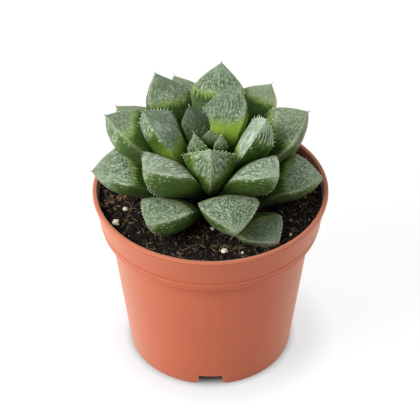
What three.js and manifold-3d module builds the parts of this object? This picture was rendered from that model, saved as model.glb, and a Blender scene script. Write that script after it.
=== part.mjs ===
// A haworthia rosette in a round plastic nursery pot. Millimetres, +Z up.
// The origin is the centre of the pot's foot, on the surface it stands on.

import * as THREE from 'three';
import { mergeVertices } from 'three/addons/utils/BufferGeometryUtils.js';
import Module from 'manifold-3d';

const wasm = await Module();
wasm.setup();

// Pot
const RIM_RADIUS = 45;
const RIM_INNER_RADIUS = 43.3;
const POT_HEIGHT = 73.4;
const LIP_HEIGHT = 1.6;
const LIP_OVERHANG = 0.45;
const LIP_ROUNDING = 0.4;
const COLLAR_BOTTOM = 57.3;
const COLLAR_BOTTOM_RADIUS = 41.6;
const COLLAR_ROUNDING = 0.5;
const COLLAR_FOLD_HEIGHT = 2.2;
const COLLAR_FOLD_STEP = 0.35;
const BODY_TOP_RADIUS = 38.9;
const FOOT_RADIUS = 31.6;
const FOOT_ROUNDING = 0.5;
const FOOT_RING_WIDTH = 2.4;
const POT_WALL = 1.3;
const LEDGE_SLOPE = 0.8;
const FLOOR_BOTTOM = 4.6;
const FLOOR_FILLET = 1;
const NOTCH_COUNT = 3;
const NOTCH_WIDTH = 9.2;
const NOTCH_HEIGHT = 4.3;
const NOTCH_FLARE = 2.6;
const NOTCH_FLARE_HEIGHT = 1.3;
const NOTCH_REACH = 4;
const DRAIN_COUNT = 6;
const DRAIN_RADIUS = 3;
const DRAIN_CIRCLE = 19;
const DRAIN_SIDES = 16;
const POT_SIDES = 48;

// Soil
const SOIL_EDGE_HEIGHT = 69.3;
const SOIL_EDGE_DROP = 1;
const SOIL_MOUND = 1.6;
const SOIL_BUMP = 0.45;
const SOIL_LOBES = [{ count: 3, winding: 0.31 }, { count: 7, winding: -0.53 }];
const SOIL_EDGE_CALM = 0.25;
const SOIL_RINGS = 9;
const SOIL_SIDES = 36;

// Stem
const STEM_RADIUS = 5.2;
const STEM_TOP = 84;
const STEM_BOTTOM = 57;
const STEM_ROOT_LENGTH = 6;
const STEM_CROWN_LENGTH = 6;
const STEM_SIDES = 16;

// Leaves, in shares of a leaf's half width unless they are lengths
const CLEARANCE = 0.32;
const SLIVER = 0.04;
const SHOULDER_BACK = 1.08;
const KEEL_DEPTH = 1.12;
const KEEL_BACK = 0.92;
const NOSE_HEADING = [0.5, 1.5];
const NOSE_ARC = 66;
const BELLY_HEADING = [1.3, 0.62];
const BEND_REACH = 0.9;
const BEND_TURN = 0.2;
const BASE_WIDTH = 0.34;
const BASE_TAPER = 1.5;
const BASE_THICKNESS = 0.3;
const BASE_MARGIN_SINK = 0.4;
const SEAT_DEPTH = 2;
const WINDOW_BULGE = 0.12;
const FLANK_BULGE = 0.13;
const TOOTH = 0.62;
const AWN = 1.6;
const FULL_TOOTH_HALF = 8;
const FIRST_STATION = 0.04;
const DISTAL_STATIONS = 9;
const PROXIMAL_STATIONS = 6;
const FLANK_STEPS = 3;

// Each leaf from the heart of the rosette outwards. Azimuth is counter-clockwise from +X seen
// from above, reach and rise place the tip, tilt is the slope of the window towards the tip,
// half is half the width at the shoulders, twist rolls the leaf and seat is where it leaves the stem.
const LEAVES = [
  { azimuth: 85, reach: 1.5, rise: 99.5, tilt: 82, half: 3.2, twist: 0, seat: 84 },
  { azimuth: -16, reach: 4, rise: 99, tilt: 66, half: 3.8, twist: 0, seat: 83 },
  { azimuth: -150, reach: 6.5, rise: 101, tilt: 64, half: 5.2, twist: 5, seat: 82 },
  { azimuth: 117, reach: 17.5, rise: 100.5, tilt: 28, half: 7, twist: 19, seat: 80 },
  { azimuth: -90, reach: 18.5, rise: 105.5, tilt: 49, half: 9.8, twist: 0, seat: 71 },
  { azimuth: -9, reach: 21, rise: 108, tilt: 51, half: 8.7, twist: 3, seat: 75 },
  { azimuth: 69, reach: 25, rise: 105, tilt: 23, half: 10, twist: -22, seat: 74 },
  { azimuth: 173, reach: 25.5, rise: 107, tilt: 36, half: 10.6, twist: 3, seat: 70 },
  { azimuth: -44, reach: 34.6, rise: 97.7, tilt: 10, half: 10, twist: 0, seat: 71 },
  { azimuth: -135, reach: 34.4, rise: 100.2, tilt: 16, half: 11.2, twist: 1, seat: 71 },
  { azimuth: 16, reach: 38.4, rise: 101.5, tilt: 26, half: 10.6, twist: 8, seat: 70 },
  { azimuth: 83, reach: 35, rise: 107, tilt: 43, half: 10.2, twist: 9, seat: 74 },
  { azimuth: 126, reach: 36, rise: 106, tilt: 31, half: 10.5, twist: 14, seat: 73 },
  { azimuth: 174, reach: 39.5, rise: 104.5, tilt: 23, half: 11.2, twist: 3, seat: 68 },
  { azimuth: 54, reach: 40, rise: 98.5, tilt: 11, half: 8, twist: 4, seat: 70 },
  { azimuth: 111, reach: 39, rise: 99.5, tilt: 17, half: 9, twist: -5, seat: 70 },
  { azimuth: -76, reach: 41.5, rise: 84, tilt: -27, half: 11.2, twist: -12, seat: 65 },
  { azimuth: -124, reach: 41.5, rise: 82.5, tilt: -6, half: 10.7, twist: 8, seat: 65 },
  { azimuth: -8, reach: 43, rise: 82.5, tilt: -5, half: 10.7, twist: 6, seat: 62 },
  { azimuth: -168, reach: 45.4, rise: 88, tilt: -2, half: 10.6, twist: 3, seat: 65 },
  { azimuth: 146, reach: 43.6, rise: 93.8, tilt: 17, half: 9.8, twist: 0, seat: 67 },
  { azimuth: 33, reach: 42.5, rise: 85, tilt: 2, half: 10.4, twist: 0, seat: 66 },
  { azimuth: 72, reach: 43, rise: 86, tilt: 5, half: 10.6, twist: 0, seat: 66 },
  { azimuth: 107, reach: 42.5, rise: 83, tilt: 0, half: 10, twist: 0, seat: 65 },
  { azimuth: -52, reach: 41, rise: 72.5, tilt: -6, half: 9.3, twist: 6, seat: 62 },
];

function plastic() {
  return new THREE.MeshStandardMaterial({ color: 0xc46a4c, roughness: 0.55, metalness: 0 });
}

function peat() {
  return new THREE.MeshStandardMaterial({ color: 0x1c140e, roughness: 1, metalness: 0 });
}

function leafSkin() {
  return new THREE.MeshStandardMaterial({ color: 0x6f9160, roughness: 0.45, metalness: 0 });
}

function stemSkin() {
  return new THREE.MeshStandardMaterial({ color: 0x7d8a52, roughness: 0.7, metalness: 0 });
}

function toSolid(geometry) {
  const bare = geometry.clone();
  bare.deleteAttribute('normal');
  bare.deleteAttribute('uv');
  const merged = mergeVertices(bare, 1e-4);
  return new wasm.Manifold(new wasm.Mesh({
    numProp: 3,
    vertProperties: new Float32Array(merged.attributes.position.array),
    triVerts: new Uint32Array(merged.index.array),
  }));
}

function toGeometry(solid) {
  const mesh = solid.getMesh();
  const geometry = new THREE.BufferGeometry();
  geometry.setAttribute('position', new THREE.BufferAttribute(mesh.vertProperties, mesh.numProp));
  geometry.setIndex(new THREE.BufferAttribute(mesh.triVerts, 1));
  return geometry;
}

function largestPiece(solid) {
  const pieces = solid.simplify(SLIVER).decompose();
  pieces.sort((a, b) => b.volume() - a.volume());
  return pieces[0];
}

function lathe(points, sides) {
  const geometry = new THREE.LatheGeometry(points.map(([r, z]) => new THREE.Vector2(r, z)), sides);
  geometry.rotateX(Math.PI / 2);
  return geometry;
}

function bodyRadius(z) {
  return FOOT_RADIUS + (BODY_TOP_RADIUS - FOOT_RADIUS) * z / COLLAR_BOTTOM;
}

function collarRadius(z) {
  const share = (z - COLLAR_BOTTOM) / (POT_HEIGHT - LIP_HEIGHT - COLLAR_BOTTOM);
  return COLLAR_BOTTOM_RADIUS + (RIM_RADIUS - LIP_OVERHANG - COLLAR_BOTTOM_RADIUS) * share;
}

// The inner wall in the body and in the collar, and the sloping ledge that joins them.
function insideRadius(z) {
  const ledge = COLLAR_BOTTOM + POT_WALL;
  return (z < ledge ? bodyRadius(z) : collarRadius(z)) - POT_WALL;
}

// The pot is one moulding: a tapered body under a wider, flared collar whose rim ends in a thicker
// rounded lip. It stands on a foot ring with notches that lead to the drain holes in its floor.
function potProfile() {
  const lipBottom = POT_HEIGHT - LIP_HEIGHT;
  const foldTop = COLLAR_BOTTOM + COLLAR_FOLD_HEIGHT;
  const foldRadius = COLLAR_BOTTOM_RADIUS - COLLAR_FOLD_STEP;
  const innerFoot = FOOT_RADIUS - FOOT_RING_WIDTH;
  const floorTop = FLOOR_BOTTOM + POT_WALL;
  const ledge = COLLAR_BOTTOM + POT_WALL;
  const filletTop = floorTop + FLOOR_FILLET;
  return [
    [0, FLOOR_BOTTOM],
    [innerFoot, FLOOR_BOTTOM],
    [innerFoot, 0],
    [FOOT_RADIUS - FOOT_ROUNDING, 0],
    [bodyRadius(FOOT_ROUNDING), FOOT_ROUNDING],
    [BODY_TOP_RADIUS, COLLAR_BOTTOM - COLLAR_ROUNDING],
    [foldRadius - COLLAR_ROUNDING, COLLAR_BOTTOM],
    [foldRadius, COLLAR_BOTTOM + COLLAR_ROUNDING],
    [collarRadius(foldTop) - COLLAR_FOLD_STEP, foldTop],
    [collarRadius(foldTop + COLLAR_FOLD_STEP), foldTop + COLLAR_FOLD_STEP],
    [collarRadius(lipBottom - LIP_ROUNDING), lipBottom - LIP_ROUNDING],
    [RIM_RADIUS, lipBottom + LIP_ROUNDING],
    [RIM_RADIUS, POT_HEIGHT - LIP_ROUNDING],
    [RIM_RADIUS - LIP_ROUNDING, POT_HEIGHT],
    [RIM_INNER_RADIUS + LIP_ROUNDING, POT_HEIGHT],
    [RIM_INNER_RADIUS, POT_HEIGHT - LIP_ROUNDING],
    [insideRadius(lipBottom), lipBottom],
    [insideRadius(ledge + LEDGE_SLOPE), ledge + LEDGE_SLOPE],
    [insideRadius(ledge - LEDGE_SLOPE), ledge - LEDGE_SLOPE],
    [insideRadius(filletTop), filletTop],
    [insideRadius(filletTop) - FLOOR_FILLET, floorTop],
    [0, floorTop],
  ];
}

function notchCutter() {
  const below = -1;
  const half = NOTCH_WIDTH / 2;
  const outline = new THREE.Shape();
  outline.moveTo(-half - NOTCH_FLARE, below);
  outline.lineTo(half + NOTCH_FLARE, below);
  outline.lineTo(half + NOTCH_FLARE, 0);
  outline.lineTo(half, NOTCH_FLARE_HEIGHT);
  outline.lineTo(half, NOTCH_HEIGHT);
  outline.lineTo(-half, NOTCH_HEIGHT);
  outline.lineTo(-half, NOTCH_FLARE_HEIGHT);
  outline.lineTo(-half - NOTCH_FLARE, 0);
  outline.closePath();
  const depth = FOOT_RING_WIDTH + 2 * NOTCH_REACH;
  const cutter = new THREE.ExtrudeGeometry(outline, { depth, bevelEnabled: false });
  cutter.rotateX(Math.PI / 2);
  cutter.translate(0, NOTCH_REACH + FOOT_RING_WIDTH - FOOT_RADIUS, 0);
  return cutter;
}

function makePot() {
  let pot = toSolid(lathe(potProfile(), POT_SIDES));
  for (let i = 0; i < NOTCH_COUNT; i += 1) {
    const cutter = notchCutter();
    cutter.rotateZ(i * 2 * Math.PI / NOTCH_COUNT);
    pot = pot.subtract(toSolid(cutter));
  }
  for (let i = 0; i < DRAIN_COUNT; i += 1) {
    const angle = (i + 0.5) * 2 * Math.PI / DRAIN_COUNT;
    const hole = new THREE.CylinderGeometry(DRAIN_RADIUS, DRAIN_RADIUS, 3 * POT_WALL, DRAIN_SIDES);
    hole.rotateX(Math.PI / 2);
    const middle = FLOOR_BOTTOM + POT_WALL / 2;
    hole.translate(DRAIN_CIRCLE * Math.cos(angle), DRAIN_CIRCLE * Math.sin(angle), middle);
    pot = pot.subtract(toSolid(hole));
  }
  return pot;
}

function hermite(from, to, leaving, arriving, s) {
  const point = from.clone().multiplyScalar(2 * s ** 3 - 3 * s ** 2 + 1);
  point.addScaledVector(leaving, s ** 3 - 2 * s ** 2 + s);
  point.addScaledVector(to, -2 * s ** 3 + 3 * s ** 2);
  point.addScaledVector(arriving, s ** 3 - s ** 2);
  return point;
}

// A leaf is lofted from its tip to its seat in its own axes: back from the tip along the window,
// sideways, and down through the leaf towards its keel.
function leafAxes(leaf) {
  const azimuth = THREE.MathUtils.degToRad(leaf.azimuth);
  const tilt = THREE.MathUtils.degToRad(leaf.tilt);
  const twist = THREE.MathUtils.degToRad(leaf.twist);
  const radial = new THREE.Vector3(Math.cos(azimuth), Math.sin(azimuth), 0);
  const level = new THREE.Vector3(-Math.sin(azimuth), Math.cos(azimuth), 0);
  const out = radial.clone().multiplyScalar(Math.cos(tilt)).setZ(Math.sin(tilt));
  const face = radial.clone().multiplyScalar(-Math.sin(tilt)).setZ(Math.cos(tilt));
  const side = level.clone().multiplyScalar(Math.cos(twist)).addScaledVector(face, Math.sin(twist));
  const up = face.multiplyScalar(Math.cos(twist)).addScaledVector(level, -Math.sin(twist));
  const tip = radial.clone().multiplyScalar(leaf.reach).setZ(leaf.rise);
  const seatRadius = Math.min(STEM_RADIUS - SEAT_DEPTH, leaf.reach / 2);
  const seat = radial.clone().multiplyScalar(seatRadius).setZ(leaf.seat);
  const toSeat = seat.sub(tip);
  return {
    tip,
    back: out.clone().negate(),
    side,
    down: up.clone().negate(),
    seatBack: -toSeat.dot(out),
    seatSide: toSeat.dot(side),
    seatDown: -toSeat.dot(up),
  };
}

// The triangular end, from the tip to the shoulders: its window is nearly flat, its margins are
// arcs of NOSE_ARC degrees and its keel swells down.
function endSection(half, shoulder, belly, s) {
  const fullTurn = THREE.MathUtils.degToRad(NOSE_ARC);
  const leaving = new THREE.Vector2(...NOSE_HEADING).multiplyScalar(half);
  const arriving = new THREE.Vector2(...BELLY_HEADING).multiplyScalar(half);
  return {
    ridge: shoulder.clone().multiplyScalar(s),
    keel: hermite(new THREE.Vector2(), belly, leaving, arriving, s),
    halfWidth: half * Math.sin(fullTurn * s) / Math.sin(fullTurn),
    shift: 0,
    sink: 0,
  };
}

// The thick lower part, which bends from the shoulders down to its seat on the stem.
function stalkSection(half, shoulder, belly, axes, s) {
  const seat = new THREE.Vector2(axes.seatBack, axes.seatDown);
  const run = shoulder.distanceTo(seat);
  const inward = seat.clone().sub(shoulder).normalize();
  const under = new THREE.Vector2(-inward.y, inward.x);
  const seatUnder = seat.clone().addScaledVector(under, BASE_THICKNESS * half);
  const level = new THREE.Vector2(1, 0).lerp(inward, BEND_TURN).setLength(BEND_REACH * run);
  const heading = new THREE.Vector2(...BELLY_HEADING).normalize();
  const bellyRun = heading.lerp(inward, BEND_TURN).setLength(run);
  const inwardRun = inward.clone().multiplyScalar(run);
  return {
    ridge: hermite(shoulder, seat, level, inwardRun, s),
    keel: hermite(belly, seatUnder, bellyRun, inwardRun, s),
    halfWidth: half * (1 - (1 - BASE_WIDTH) * s ** BASE_TAPER),
    shift: axes.seatSide * s * s * (3 - 2 * s),
    sink: BASE_MARGIN_SINK * s,
  };
}

// The ring runs from the keel up one flank, over the window from margin to margin and down again.
function leafRing(section, tooth) {
  const { ridge, keel, halfWidth, shift, sink } = section;
  const depth = keel.clone().sub(ridge);
  const margin = ridge.clone().addScaledVector(depth, sink);
  const keelPoint = keel.clone().addScaledVector(depth.clone().normalize(), tooth);
  const flank = [];
  for (let i = 1; i < FLANK_STEPS; i += 1) {
    const t = i / FLANK_STEPS;
    const bulge = 4 * t * (1 - t) * FLANK_BULGE;
    const along = keel.clone().lerp(margin, t).addScaledVector(depth, bulge);
    flank.push([along.x, halfWidth * (t + bulge), along.y]);
  }
  const ring = [[keelPoint.x, 0, keelPoint.y], ...flank, [margin.x, halfWidth + tooth, margin.y]];
  for (const t of [0.5, 0, -0.5]) {
    const top = ridge.clone().lerp(margin, t * t);
    const crown = WINDOW_BULGE * halfWidth * (1 - t * t);
    ring.push([top.x, halfWidth * t, top.y - crown]);
  }
  ring.push([margin.x, -halfWidth - tooth, margin.y]);
  for (const [x, y, z] of flank.reverse()) {
    ring.push([x, -y, z]);
  }
  return ring.map(([x, y, z]) => new THREE.Vector3(x, y + shift, z));
}

// Every second station of the triangular end carries a tooth on both margins and on the keel.
function leafSections(leaf, axes) {
  const shoulder = new THREE.Vector2(SHOULDER_BACK, 0).multiplyScalar(leaf.half);
  const belly = new THREE.Vector2(KEEL_BACK, KEEL_DEPTH).multiplyScalar(leaf.half);
  const sections = [{ ...endSection(leaf.half, shoulder, belly, FIRST_STATION), toothed: false }];
  for (let i = 1; i <= DISTAL_STATIONS; i += 1) {
    const section = endSection(leaf.half, shoulder, belly, i / DISTAL_STATIONS);
    sections.push({ ...section, toothed: i % 2 === 1 });
  }
  for (let i = 1; i <= PROXIMAL_STATIONS; i += 1) {
    const section = stalkSection(leaf.half, shoulder, belly, axes, i / PROXIMAL_STATIONS);
    sections.push({ ...section, toothed: false });
  }
  return sections;
}

function middle(points) {
  return points.reduce((sum, p) => sum.add(p), new THREE.Vector3()).divideScalar(points.length);
}

function swell(ring, amount) {
  const centre = middle(ring);
  return ring.map((p) => p.clone().addScaledVector(p.clone().sub(centre).normalize(), amount));
}

function closedLoft(rings, tip, end) {
  const count = rings[0].length;
  const points = [tip, ...rings.flat(), end];
  const index = [];
  for (let j = 0; j < count; j += 1) {
    const next = (j + 1) % count;
    index.push(0, 1 + j, 1 + next);
    for (let i = 0; i < rings.length - 1; i += 1) {
      const a = 1 + i * count + j;
      const b = 1 + i * count + next;
      index.push(a, a + count, b, b, a + count, b + count);
    }
    const last = 1 + (rings.length - 1) * count;
    index.push(last + j, points.length - 1, last + next);
  }
  const geometry = new THREE.BufferGeometry().setFromPoints(points);
  geometry.setIndex(index);
  return geometry;
}

// With some room, the leaf is the smooth envelope that its neighbours keep clear of.
function makeLeaf(leaf, room) {
  const flankSlant = 1.4;
  const axes = leafAxes(leaf);
  const place = new THREE.Matrix4().makeBasis(axes.back, axes.side, axes.down).setPosition(axes.tip);
  const size = Math.min(1, leaf.half / FULL_TOOTH_HALF);
  const rings = leafSections(leaf, axes).map((section) => {
    const ring = leafRing(section, section.toothed || room ? TOOTH * size : 0);
    return room ? swell(ring, flankSlant * room) : ring;
  });
  const tip = new THREE.Vector3(-AWN * size - 2 * room, 0, 0);
  const [before, last] = rings.slice(-2).map(middle);
  const inward = last.clone().sub(before).normalize();
  const geometry = closedLoft(rings, tip, last.addScaledVector(inward, 2 * room));
  geometry.applyMatrix4(place);
  return toSolid(geometry);
}

function makeStem(room) {
  return toSolid(lathe([
    [0, STEM_BOTTOM - room],
    [STEM_RADIUS * 0.7 + room, STEM_BOTTOM - room],
    [STEM_RADIUS + room, STEM_BOTTOM + STEM_ROOT_LENGTH],
    [STEM_RADIUS + room, STEM_TOP - STEM_CROWN_LENGTH],
    [STEM_RADIUS * 0.75 + room, STEM_TOP - STEM_CROWN_LENGTH / 3],
    [STEM_RADIUS * 0.4 + room, STEM_TOP + room],
    [0, STEM_TOP + room],
  ], STEM_SIDES));
}

function soilHeight(radius, angle) {
  const share = radius / RIM_INNER_RADIUS;
  const mound = SOIL_MOUND * (1 - share * share);
  const calm = Math.min(1, (1 - share) / SOIL_EDGE_CALM) * share;
  const waves = SOIL_LOBES.map(({ count, winding }) => Math.sin(count * angle + winding * radius));
  return SOIL_EDGE_HEIGHT + mound + SOIL_BUMP * calm * waves.reduce((sum, wave) => sum + wave);
}

function makeSoil() {
  const edgeHeight = SOIL_EDGE_HEIGHT - SOIL_EDGE_DROP;
  const edge = insideRadius(edgeHeight) - CLEARANCE;
  const ledge = COLLAR_BOTTOM + POT_WALL;
  const bottom = FLOOR_BOTTOM + POT_WALL + CLEARANCE;
  const filletTop = bottom + FLOOR_FILLET;
  const rings = [];
  for (let i = 1; i <= SOIL_RINGS; i += 1) {
    const radius = edge * i / SOIL_RINGS;
    rings.push((angle) => [radius, soilHeight(radius, angle)]);
  }
  rings.push(() => [edge, edgeHeight]);
  rings.push(() => [insideRadius(ledge + LEDGE_SLOPE) - CLEARANCE, ledge + LEDGE_SLOPE + CLEARANCE]);
  rings.push(() => [insideRadius(ledge - LEDGE_SLOPE) - CLEARANCE, ledge - LEDGE_SLOPE + CLEARANCE]);
  rings.push(() => [insideRadius(filletTop) - CLEARANCE, filletTop]);
  rings.push(() => [insideRadius(filletTop) - FLOOR_FILLET - CLEARANCE, bottom]);
  const points = rings.map((ring) => {
    const row = [];
    for (let j = 0; j < SOIL_SIDES; j += 1) {
      const angle = j * 2 * Math.PI / SOIL_SIDES;
      const [radius, z] = ring(angle);
      row.push(new THREE.Vector3(radius * Math.cos(angle), radius * Math.sin(angle), z));
    }
    return row;
  });
  const top = new THREE.Vector3(0, 0, soilHeight(0, 0));
  return toSolid(closedLoft(points, top, new THREE.Vector3(0, 0, bottom)));
}

function addPiece(group, name, solid, material) {
  const mesh = new THREE.Mesh(toGeometry(solid), material);
  mesh.name = name;
  group.add(mesh);
}

const plant = new THREE.Group();
const stemRoom = makeStem(CLEARANCE);
let soil = makeSoil().subtract(stemRoom);
const taken = [stemRoom];
const leaves = [];
for (const leaf of LEAVES) {
  const room = makeLeaf(leaf, CLEARANCE);
  let grown = makeLeaf(leaf, 0);
  for (const neighbour of taken) {
    grown = grown.subtract(neighbour);
  }
  taken.push(room);
  leaves.push(largestPiece(grown));
  soil = soil.subtract(room);
}
addPiece(plant, 'pot', makePot(), plastic());
addPiece(plant, 'soil', largestPiece(soil), peat());
addPiece(plant, 'stem', makeStem(0), stemSkin());
leaves.forEach((solid, i) => {
  addPiece(plant, `leaf_${String(i + 1).padStart(2, '0')}`, solid, leafSkin());
});

export default plant;
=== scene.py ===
import math
import random

import bpy
import numpy as np
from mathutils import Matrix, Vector, noise


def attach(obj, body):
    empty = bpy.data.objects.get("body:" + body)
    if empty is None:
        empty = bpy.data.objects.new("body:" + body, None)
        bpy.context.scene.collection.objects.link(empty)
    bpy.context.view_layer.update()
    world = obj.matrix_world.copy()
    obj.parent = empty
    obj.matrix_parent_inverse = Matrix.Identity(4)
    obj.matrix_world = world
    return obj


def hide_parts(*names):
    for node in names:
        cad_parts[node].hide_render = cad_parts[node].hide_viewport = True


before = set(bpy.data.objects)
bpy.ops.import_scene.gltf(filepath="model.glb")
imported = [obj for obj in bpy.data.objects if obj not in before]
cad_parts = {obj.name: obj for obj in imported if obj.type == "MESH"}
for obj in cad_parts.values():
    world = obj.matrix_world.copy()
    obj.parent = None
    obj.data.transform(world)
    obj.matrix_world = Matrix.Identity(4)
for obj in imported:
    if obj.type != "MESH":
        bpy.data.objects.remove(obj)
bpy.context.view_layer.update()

# The pot is one thin injection moulding in terracotta-orange polypropylene: a tapered body under a
# wider flared collar, a thicker lip at the rim, a floor with drain holes, and a foot ring whose
# three notches let the water out. Its skin is matte, with faint flow marks and handling scuffs.
# Its lip is painted paler, partly as rubbed wear and partly as a painted highlight on the lit top edge.
MM = 0.001
RIM_RADIUS = 45
RIM_INNER_RADIUS = 43.3
POT_HEIGHT = 73.4
LIP_BOTTOM = 71.8
LIP_OVERHANG = 0.45
# How much paler the lip is painted, partly wear and partly a painted highlight, and how far below the top
# that starts and ends.
LIP_WEAR_AND_HIGHLIGHT = 0.42
LIP_WEAR_AND_HIGHLIGHT_BELOW = (1.1, 0.4)
COLLAR_BOTTOM = 57.3
COLLAR_BOTTOM_RADIUS = 41.6
BEAD_OUT = 0.3
BEAD_HEIGHT = 0.6
FOLD_HEIGHT = 60.4
FOLD_OUT = 0.3
BODY_TOP_RADIUS = 38.9
FOOT_RADIUS = 31.6
FOOT_INNER_RADIUS = 29.2
POT_WALL = 1.3
FLOOR_BOTTOM = 4.6
POT_SIDES = 240
EDGE_ROUNDING = 0.25
NOTCH_COUNT = 3
NOTCH_WIDTH = 9.2
NOTCH_HEIGHT = 4.9
NOTCH_FLARE = 2.6
NOTCH_FLARE_HEIGHT = 1.3
ABOVE_NOTCH = 5.5
DRAIN_COUNT = 6
DRAIN_RADIUS = 3
DRAIN_CIRCLE = 19
DRAIN_SIDES = 32


def srgb(red, green, blue):
    """A colour picked on screen, 0 to 255, as the linear colour that Blender mixes."""
    shares = [c / 255 for c in (red, green, blue)]
    return tuple(c / 12.92 if c <= 0.04045 else ((c + 0.055) / 1.055) ** 2.4 for c in shares) + (1,)


def fill(tree, node, inputs):
    """Gives each input of a node a value, or joins it to a socket."""
    for key, value in inputs.items():
        if isinstance(value, bpy.types.NodeSocket):
            tree.links.new(value, node.inputs[key])
        else:
            node.inputs[key].default_value = value


def add(tree, kind, inputs=None, result=0, **settings):
    """Makes a node with its settings and inputs, and gives one of its results."""
    made = tree.nodes.new(kind)
    for name, value in settings.items():
        setattr(made, name, value)
    fill(tree, made, inputs or {})
    return made.outputs[result] if made.outputs else None


def tree_of(*values):
    """The tree that holds the first socket among some values."""
    return next(value.id_data for value in values if isinstance(value, bpy.types.NodeSocket))


def calc(operation, first, second=0.0, third=0.0):
    """The result of one sum on numbers and sockets."""
    inputs = {0: first, 1: second, 2: third}
    return add(tree_of(first, second, third), "ShaderNodeMath", inputs, operation=operation)


def vector_calc(operation, first, second=(0, 0, 0), result="Vector"):
    """The result of one sum on vectors; for a length or a distance it is the Value."""
    return add(tree_of(first), "ShaderNodeVectorMath", {0: first, 1: second}, result, operation=operation)


def ease(value, low, high, start=0.0, end=1.0):
    """Goes smoothly from start to end as value goes from low to high."""
    limits = {"Value": value, "From Min": low, "From Max": high, "To Min": start, "To Max": end}
    return add(tree_of(value), "ShaderNodeMapRange", limits, interpolation_type="SMOOTHSTEP")


def blend(share, under, over):
    """Two colours mixed by a share; each is a socket or a screen colour."""
    under, over = (srgb(*colour) if isinstance(colour, tuple) else colour for colour in (under, over))
    tree = tree_of(share, under, over)
    return add(tree, "ShaderNodeMix", {0: share, 6: under, 7: over}, 2, data_type="RGBA")


def lay_over(colour, *layers):
    """A colour with other colours laid over it one by one, each by its share."""
    for share, tint in layers:
        colour = blend(share, colour, tint)
    return colour


def grain(place, scale, detail=2.0, roughness=0.5):
    """Soft noise from 0 to 1, with scale in features a metre."""
    inputs = {"Vector": place, "Scale": scale, "Detail": detail, "Roughness": roughness}
    return add(tree_of(place), "ShaderNodeTexNoise", inputs, "Fac")


def relief(strength, depth, height):
    """The way that a surface faces where a height from 0 to 1 stands for a depth in millimetres."""
    inputs = {"Strength": strength, "Distance": depth * MM, "Height": height}
    return add(tree_of(height), "ShaderNodeBump", inputs)


def start_material(name):
    """An empty node material and its Object coordinates."""
    material = bpy.data.materials.new(name)
    material.use_nodes = True
    return material, add(material.node_tree, "ShaderNodeTexCoord", result="Object")


def coat(material, inputs):
    """Fills the inputs of a material's surface shader."""
    fill(material.node_tree, material.node_tree.nodes["Principled BSDF"], inputs)
    return material


def mesh_in_mm(name, verts, faces, edges=()):
    """A mesh from points in millimetres."""
    mesh = bpy.data.meshes.new(name)
    mesh.from_pydata([[c * MM for c in v] for v in verts], edges, faces)
    return mesh


def link(thing, name):
    """A new object of this name in the scene, holding a mesh, a light or a camera."""
    made = bpy.data.objects.new(name, thing)
    bpy.context.scene.collection.objects.link(made)
    return made


def give(mesh, name, values, kind="FLOAT", field="value"):
    """Gives every point of a mesh its own value of a name."""
    mesh.attributes.new(name, kind, "POINT").data.foreach_set(field, np.ravel(values))


def finish_piece(name, mesh, material, nodes=(), smooth_angle=None):
    """Puts a finished mesh in the scene as a named piece that rides with the part."""
    mesh.materials.clear()
    mesh.materials.append(material)
    mesh.shade_smooth()
    if smooth_angle is not None:
        mesh.set_sharp_from_angle(angle=math.radians(smooth_angle))
    piece = link(mesh, name)
    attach(piece, "root")
    if nodes:
        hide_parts(*nodes)
    return piece


def apply_modifiers(piece):
    """The plain mesh that a piece's modifiers make; the piece itself is removed."""
    mesh = bpy.data.meshes.new_from_object(piece.evaluated_get(bpy.context.evaluated_depsgraph_get()))
    bpy.data.objects.remove(piece)
    return mesh


def body_radius(height):
    return FOOT_RADIUS + (BODY_TOP_RADIUS - FOOT_RADIUS) * height / COLLAR_BOTTOM


def collar_radius(height):
    share = (height - COLLAR_BOTTOM) / (LIP_BOTTOM - COLLAR_BOTTOM)
    return COLLAR_BOTTOM_RADIUS + (RIM_RADIUS - LIP_OVERHANG - COLLAR_BOTTOM_RADIUS) * share


def inside_radius(height):
    outside = body_radius if height < COLLAR_BOTTOM + POT_WALL else collar_radius
    return outside(height) - POT_WALL


def round_corners(corners, steps=6):
    """A profile line through corners of (radius, height, rounding), with an arc at each rounding."""
    line = []
    for i, (x, y, rounding) in enumerate(corners):
        here = Vector((x, y))
        if not rounding:
            line.append(here)
            continue
        before = (Vector(corners[i - 1][:2]) - here).normalized()
        after = (Vector(corners[i + 1][:2]) - here).normalized()
        for step in range(steps + 1):
            share = step / steps
            leaving = here + before * rounding * (1 - share)
            line.append(leaving.lerp(here + after * rounding * share, share))
    return line


def wrap(rings, first, last):
    """A closed skin from one end point over rings of points to the other end point.

    Gives its points, its faces and the row and column of every face's corners."""
    count = len(rings[0])
    points = [first] + [point for ring in rings for point in ring] + [last]
    rows = [[0] * (count + 1)]
    rows += [[1 + i * count + j % count for j in range(count + 1)] for i in range(len(rings))]
    rows.append([len(points) - 1] * (count + 1))
    faces, places = [], []
    for j in range(count):
        for i in range(len(rows) - 1):
            face = [(i, j + 1), (i, j), (i + 1, j), (i + 1, j + 1)]
            if i == 0:
                face = face[1:]
            elif i == len(rings):
                face = face[:3]
            faces.append([rows[row][column] for row, column in face])
            places += face
    return points, faces, places


def add_form(verts, faces, form_verts, form_faces):
    """Adds one more closed form to the points and faces of several."""
    faces += [[len(verts) + i for i in face] for face in form_faces]
    verts += form_verts


def turns(count):
    """The angles of equal steps once round."""
    return [2 * math.pi * j / count for j in range(count)]


def revolve(name, line, sides):
    """Turns a profile line that starts and ends on the axis into a closed mesh."""
    rings = [[(p.x * math.cos(t), -p.x * math.sin(t), p.y) for t in turns(sides)] for p in line[1:-1]]
    return mesh_in_mm(name, *wrap(rings, (0, 0, line[0].y), (0, 0, line[-1].y))[:2])


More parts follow.
